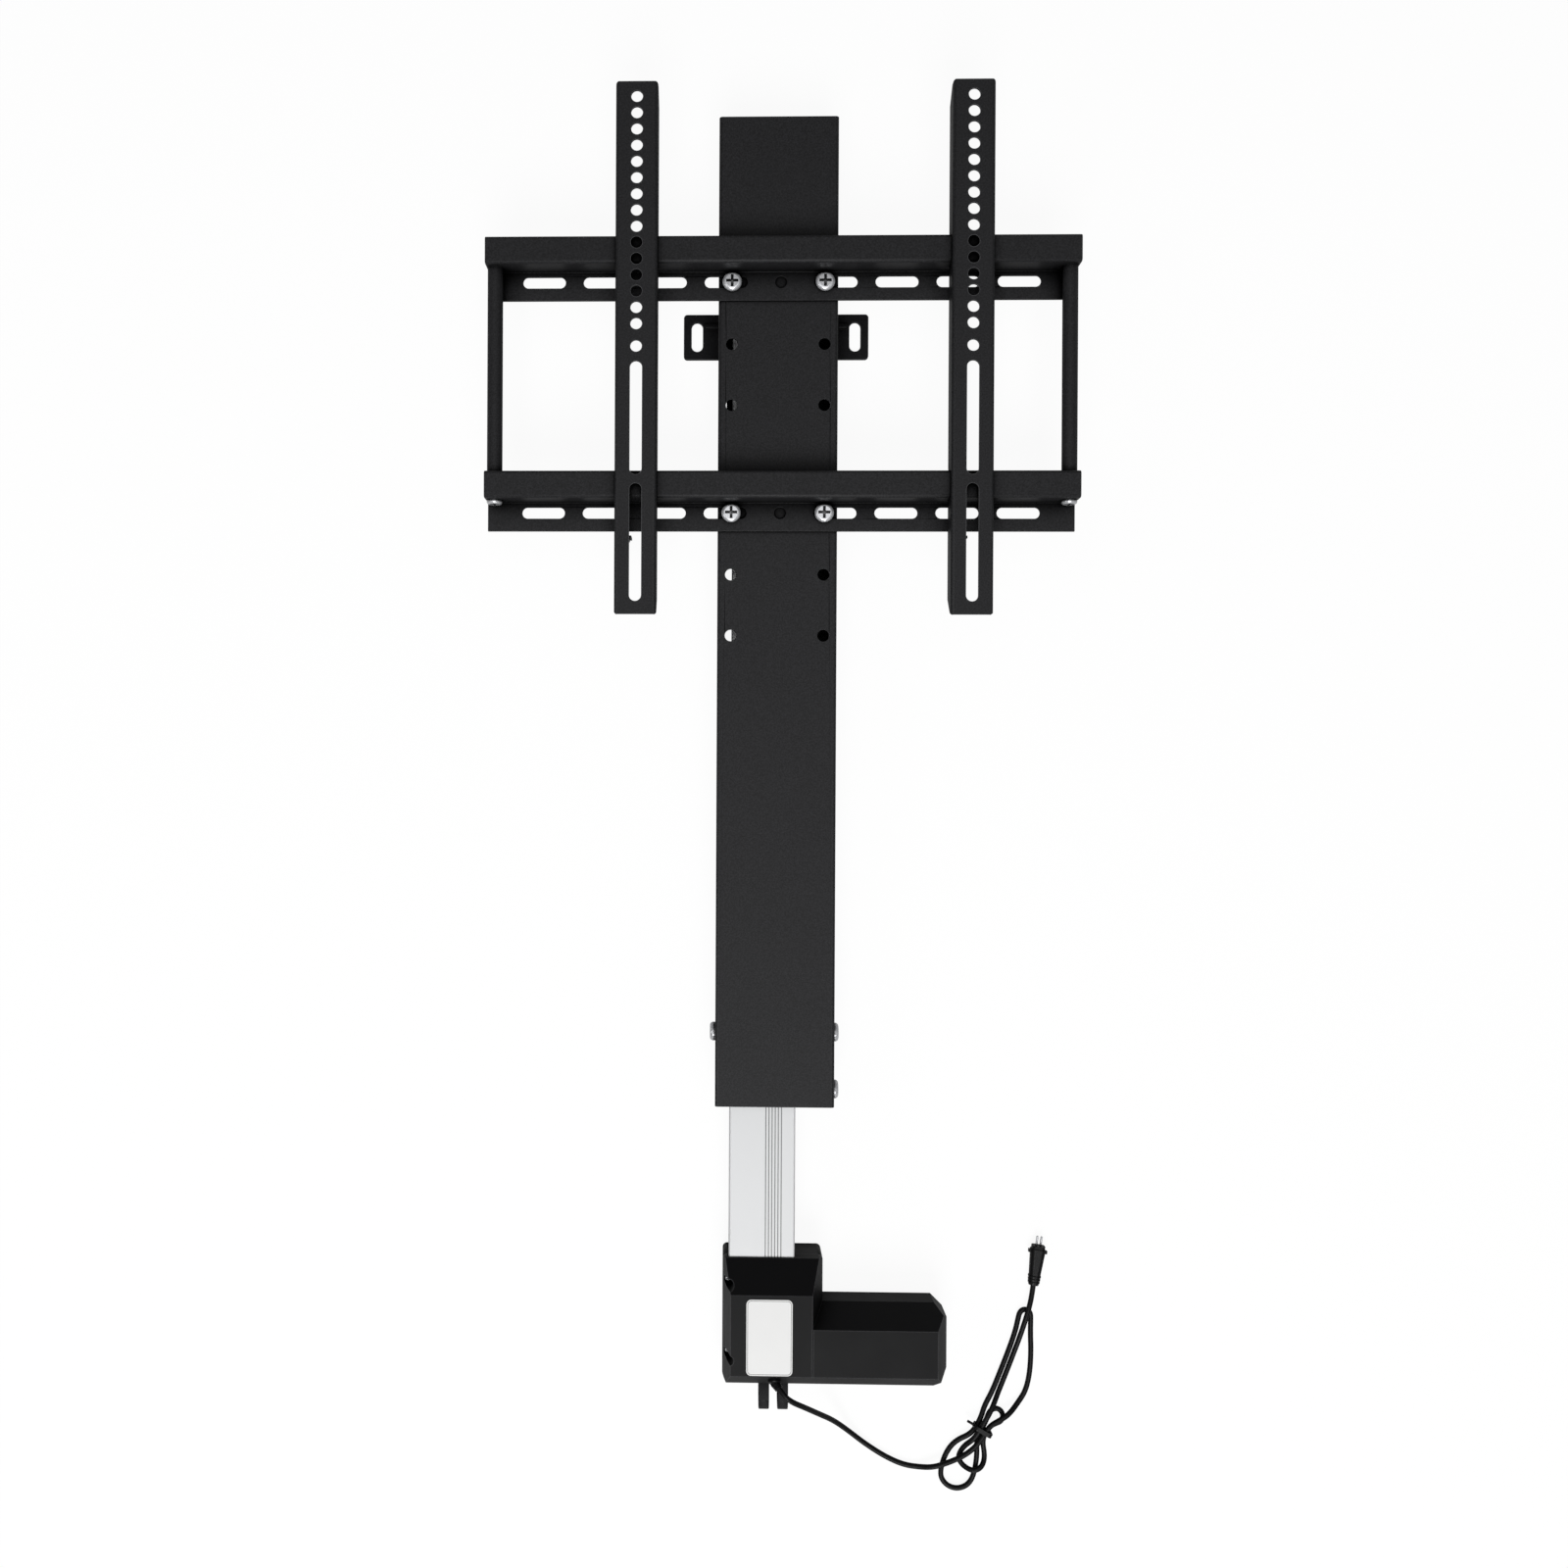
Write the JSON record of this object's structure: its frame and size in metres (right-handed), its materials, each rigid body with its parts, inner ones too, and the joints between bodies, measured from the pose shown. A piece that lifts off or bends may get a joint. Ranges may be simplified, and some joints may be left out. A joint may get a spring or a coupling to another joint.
{
  "type": "tv lift mechanism",
  "caption": "Motor-driven column lift for a flat television, with two slotted cross rails, two hook-on arms, a worm drive and a tied low-voltage lead, lying on its back.",
  "frame": {"origin": "middle of the outline of the lift without its cord, on the back plane of the wall plate and the housing, which is the plane that it lies on", "axes": "+X along the cross rails to the right, +Y the way the column lifts (up when the lift is in use), +Z out of the wall towards the television"},
  "size_m": [0.48, 1.1676, 0.087],
  "materials": {
    "powder_black": "fine-textured black powder coat",
    "housing_grey": "fine-grained dark grey moulded plastic",
    "black_plastic": "smooth black moulded plastic",
    "track_aluminium": "natural anodised, drawn along its length",
    "zinc_steel": "bright zinc-plated steel",
    "cord_rubber": "soft black sheath",
    "ground_steel": "ground steel",
    "gear_plastic": "natural acetal",
    "cast_block": "die-cast aluminium"
  },
  "bodies": {
    "base": {"housing_rear": "housing_grey", "housing_front": "housing_grey", "case_screws": "zinc_steel", "gearbox_block": "cast_block", "drive_motor": "ground_steel", "worm_bearing": "ground_steel", "screw_bearings": "ground_steel", "screw_bush": "gear_plastic", "rear_clevis": "powder_black", "cable_gland": "black_plastic", "track_rail": "track_aluminium", "track_end_cap": "black_plastic", "wall_plate": "powder_black", "plate_pad": "black_plastic", "plate_screws": "zinc_steel", "limit_switches": "black_plastic", "cord_lead": "cord_rubber", "cord_hank": "cord_rubber", "cord_tail": "cord_rubber", "cord_tie": "black_plastic", "connector_body": "black_plastic", "connector_pins": "zinc_steel"},
    "worm": {"worm_shaft": "ground_steel"},
    "screw": {"lead_screw": "ground_steel", "worm_wheel": "gear_plastic"},
    "carriage": {"column_channel": "powder_black", "column_cap": "black_plastic", "slide_block": "black_plastic", "drive_nut": "gear_plastic", "glide_pads": "gear_plastic", "carriage_screws": "zinc_steel", "upper_rail": "powder_black", "lower_rail": "powder_black", "left_spacer_tube": "powder_black", "right_spacer_tube": "powder_black", "spacer_screws": "zinc_steel", "rail_screws": "zinc_steel", "rail_nuts": "zinc_steel"},
    "left_arm_body": {"left_arm": "powder_black", "left_lock_screw": "zinc_steel"},
    "right_arm_body": {"right_arm": "powder_black", "right_lock_screw": "zinc_steel"}
  },
  "joints": [
    {"name": "lift_slide", "type": "slide", "parent": "base", "child": "carriage", "axis": [0, 1, 0], "range_m": [-0.12, 0.58]},
    {"name": "screw_spin", "type": "hinge", "parent": "base", "child": "screw", "pos_m": [-0.002, -0.482, 0.024], "axis": [0, 1, 0], "continuous": true},
    {"name": "worm_spin", "type": "hinge", "parent": "base", "child": "worm", "pos_m": [-0.002, -0.482, 0.0415], "axis": [1, 0, 0], "continuous": true},
    {"name": "left_arm_slide", "type": "slide", "parent": "carriage", "child": "left_arm_body", "axis": [1, 0, 0], "range_m": [-0.09, 0.097]},
    {"name": "right_arm_slide", "type": "slide", "parent": "carriage", "child": "right_arm_body", "axis": [1, 0, 0], "range_m": [-0.1325, 0.0545]}
  ],
  "couplings": [
    {"joint": "screw_spin", "follows": "lift_slide", "rad_per_m": 523.6},
    {"joint": "worm_spin", "follows": "lift_slide", "rad_per_m": 10472}
  ]
}
